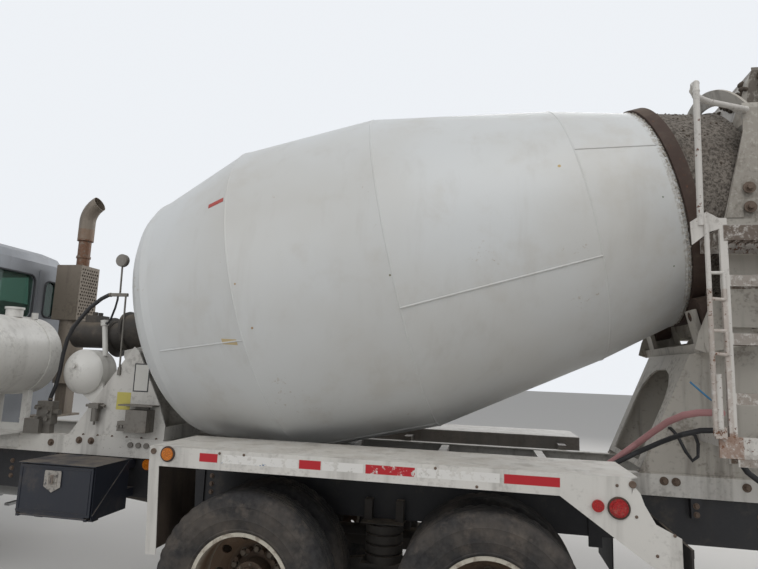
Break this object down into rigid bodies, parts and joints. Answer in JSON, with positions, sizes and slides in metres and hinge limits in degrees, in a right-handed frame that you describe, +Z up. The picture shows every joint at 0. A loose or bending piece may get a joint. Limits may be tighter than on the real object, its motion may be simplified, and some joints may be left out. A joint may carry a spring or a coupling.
{
  "type": "concrete mixer truck",
  "caption": "Rear discharge concrete mixer truck with a tilted turning drum, conventional cab with tilting hood, steered front wheels, tandem dual wheels and a swivelling folding chute.",
  "frame": {"origin": "on the ground, under the middle of the truck's length and width", "axes": "+X to the front of the truck, +Y to its left side, +Z up"},
  "size_m": [10.788, 2.66, 3.85],
  "materials": {
    "frame_black": "satin",
    "white_paint": "satin",
    "bumper_steel": "satin",
    "engine_iron": "matte",
    "suspension_black": "matte",
    "axle_iron": "matte",
    "axle_iron_front": "matte",
    "cab_paint": "gloss",
    "cab_trim": "matte",
    "cab_glass": "gloss",
    "tank_aluminium": "satin",
    "box_black": "satin",
    "box_door_black": "satin",
    "exhaust_steel": "matte",
    "tank_white": "satin",
    "pedestal_white": "satin",
    "drive_grey": "matte",
    "pedestal_grey": "matte",
    "hopper_steel": "matte",
    "platform_white": "satin",
    "fender_white": "satin",
    "flap_rubber": "matte",
    "hose_pink": "matte",
    "hose_black": "matte",
    "valve_steel": "satin",
    "lamp_clear": "gloss",
    "lamp_lens": "gloss",
    "knuckle_iron": "matte",
    "rod_steel": "satin",
    "tyre": "matte",
    "rim_steel": "matte",
    "hood_paint": "gloss",
    "grille_chrome": "gloss",
    "door_paint": "gloss",
    "door_glass": "gloss",
    "drum_white": "satin",
    "ring_rust": "matte",
    "fin_steel": "matte",
    "roller_steel": "satin",
    "swivel_grey": "matte",
    "chute_grey": "matte",
    "cylinder_black": "satin",
    "rod_chrome": "gloss",
    "wheel_black": "matte"
  },
  "bodies": {
    "chassis": {"chassis_frame": "frame_black", "subframe": "white_paint", "front_bumper": "bumper_steel", "powertrain": "engine_iron", "rear_suspension": "suspension_black", "rear_axles": "axle_iron", "front_axle": "axle_iron_front", "cab_shell": "cab_paint", "cab_interior": "cab_trim", "cab_glass": "cab_glass", "side_tanks": "tank_aluminium", "toolbox": "box_black", "exhaust": "exhaust_steel", "tanks": "tank_white", "front_pedestal": "pedestal_white", "drum_drive": "drive_grey", "rear_pedestal": "pedestal_grey", "hopper": "hopper_steel", "platform_ladder": "platform_white", "rear_fenders": "fender_white", "mud_flaps": "flap_rubber", "pink_hose": "hose_pink", "black_hoses": "hose_black", "valves_gauge": "valve_steel", "lamps": "lamp_lens", "swivel_mount": "swivel_grey"},
    "wheel_front_left": {"tyre_front_left": "tyre", "rim_front_left": "rim_steel"},
    "wheel_front_right": {"tyre_front_right": "tyre", "rim_front_right": "rim_steel"},
    "wheel_mid_left": {"tyres_mid_left": "tyre", "rims_mid_left": "rim_steel"},
    "wheel_mid_right": {"tyres_mid_right": "tyre", "rims_mid_right": "rim_steel"},
    "wheel_rear_left": {"tyres_rear_left": "tyre", "rims_rear_left": "rim_steel"},
    "wheel_rear_right": {"tyres_rear_right": "tyre", "rims_rear_right": "rim_steel"},
    "knuckle_left": {"knuckle_left": "knuckle_iron"},
    "knuckle_right": {"knuckle_right": "knuckle_iron"},
    "tie_rod": {"tie_rod": "rod_steel"},
    "hood": {"hood": "hood_paint", "grille": "grille_chrome", "headlamps": "lamp_clear"},
    "door_left": {"door_left": "door_paint", "door_glass_left": "door_glass"},
    "door_right": {"door_right": "door_paint", "door_glass_right": "door_glass"},
    "drum": {"drum_shell": "drum_white", "track_ring": "ring_rust", "drum_fins": "fin_steel"},
    "roller_left": {"roller_left": "roller_steel"},
    "roller_right": {"roller_right": "roller_steel"},
    "toolbox_door": {"toolbox_door": "box_door_black"},
    "chute_swivel": {"chute_swivel": "swivel_grey"},
    "main_chute": {"main_chute": "chute_grey"},
    "fold_chute": {"fold_chute": "chute_grey"},
    "lift_cylinder": {"lift_cylinder": "cylinder_black"},
    "lift_rod": {"lift_rod": "rod_chrome"},
    "steering_wheel": {"steering_wheel": "wheel_black"}
  },
  "joints": [
    {"name": "steer_left", "type": "hinge", "parent": "chassis", "child": "knuckle_left", "pos_m": [4.335, 0.85, 0.535], "axis": [0, 0, 1], "range_deg": [-35, 35]},
    {"name": "steer_right", "type": "hinge", "parent": "chassis", "child": "knuckle_right", "pos_m": [4.335, -0.85, 0.535], "axis": [0, 0, 1], "range_deg": [-35, 35]},
    {"name": "tie_rod_turn", "type": "hinge", "parent": "knuckle_left", "child": "tie_rod", "pos_m": [4.035, 0.85, 0.395], "axis": [0, 0, 1], "range_deg": [-35, 35]},
    {"name": "steering_wheel_turn", "type": "hinge", "parent": "chassis", "child": "steering_wheel", "pos_m": [3.245, 0.56, 1.76], "axis": [-0.7282, 0, 0.6854], "range_deg": [-540, 540]},
    {"name": "spin_front_left", "type": "hinge", "parent": "knuckle_left", "child": "wheel_front_left", "pos_m": [4.335, 1.04, 0.535], "axis": [0, 1, 0], "continuous": true},
    {"name": "spin_front_right", "type": "hinge", "parent": "knuckle_right", "child": "wheel_front_right", "pos_m": [4.335, -1.04, 0.535], "axis": [0, 1, 0], "continuous": true},
    {"name": "spin_mid_left", "type": "hinge", "parent": "chassis", "child": "wheel_mid_left", "pos_m": [-0.759, 0.91, 0.515], "axis": [0, 1, 0], "continuous": true},
    {"name": "spin_mid_right", "type": "hinge", "parent": "chassis", "child": "wheel_mid_right", "pos_m": [-0.759, -0.91, 0.515], "axis": [0, 1, 0], "continuous": true},
    {"name": "spin_rear_left", "type": "hinge", "parent": "chassis", "child": "wheel_rear_left", "pos_m": [-2.131, 0.91, 0.515], "axis": [0, 1, 0], "continuous": true},
    {"name": "spin_rear_right", "type": "hinge", "parent": "chassis", "child": "wheel_rear_right", "pos_m": [-2.131, -0.91, 0.515], "axis": [0, 1, 0], "continuous": true},
    {"name": "hood_tilt", "type": "hinge", "parent": "chassis", "child": "hood", "pos_m": [5.255, 0, 0.79], "axis": [0, 1, 0], "range_deg": [0, 60]},
    {"name": "door_left_swing", "type": "hinge", "parent": "chassis", "child": "door_left", "pos_m": [3.563, 1.042, 1.5], "axis": [0, 0, -1], "range_deg": [0, 65]},
    {"name": "door_right_swing", "type": "hinge", "parent": "chassis", "child": "door_right", "pos_m": [3.563, -1.042, 1.5], "axis": [0, 0, 1], "range_deg": [0, 65]},
    {"name": "drum_spin", "type": "hinge", "parent": "chassis", "child": "drum", "pos_m": [-1.445, 0, 2.503], "axis": [-0.9744, 0, 0.225], "continuous": true},
    {"name": "roller_left_spin", "type": "hinge", "parent": "chassis", "child": "roller_left", "pos_m": [-3.46453, 0.49971, 2.17952], "axis": [-0.9744, 0, 0.225], "continuous": true},
    {"name": "roller_right_spin", "type": "hinge", "parent": "chassis", "child": "roller_right", "pos_m": [-3.46453, -0.49971, 2.17952], "axis": [-0.9744, 0, 0.225], "continuous": true},
    {"name": "toolbox_door_drop", "type": "hinge", "parent": "chassis", "child": "toolbox_door", "pos_m": [0.655, 0.974, 0.738], "axis": [-1, 0, 0], "range_deg": [0, 90]},
    {"name": "chute_turn", "type": "hinge", "parent": "chassis", "child": "chute_swivel", "pos_m": [-4.165, 0, 1.1], "axis": [0, 0, 1], "range_deg": [-90, 90]},
    {"name": "chute_tilt", "type": "hinge", "parent": "chute_swivel", "child": "main_chute", "pos_m": [-4.165, 0, 1.36], "axis": [0, -1, 0], "range_deg": [-6, 25]},
    {"name": "chute_fold", "type": "hinge", "parent": "main_chute", "child": "fold_chute", "pos_m": [-5.39, 0, 1.716], "axis": [0, -1, 0], "range_deg": [0, 180]},
    {"name": "lift_cylinder_swing", "type": "hinge", "parent": "chute_swivel", "child": "lift_cylinder", "pos_m": [-4.315, 0, 0.97], "axis": [0, -1, 0], "range_deg": [-5.2, 21.6]},
    {"name": "lift_rod_slide", "type": "slide", "parent": "lift_cylinder", "child": "lift_rod", "axis": [-0.7615, 0, 0.6481], "range_m": [-0.178, 0.044]}
  ],
  "couplings": [
    {"joint": "steer_right", "follows": "steer_left", "ratio": 1},
    {"joint": "tie_rod_turn", "follows": "steer_left", "ratio": -1},
    {"joint": "steering_wheel_turn", "follows": "steer_left", "ratio": 15.4},
    {"joint": "roller_left_spin", "follows": "drum_spin", "ratio": -7.1875},
    {"joint": "roller_right_spin", "follows": "drum_spin", "ratio": -7.1875},
    {"joint": "lift_cylinder_swing", "follows": "chute_tilt", "ratio": 0.86},
    {"joint": "lift_rod_slide", "follows": "chute_tilt", "m_per_rad": -0.40393}
  ]
}
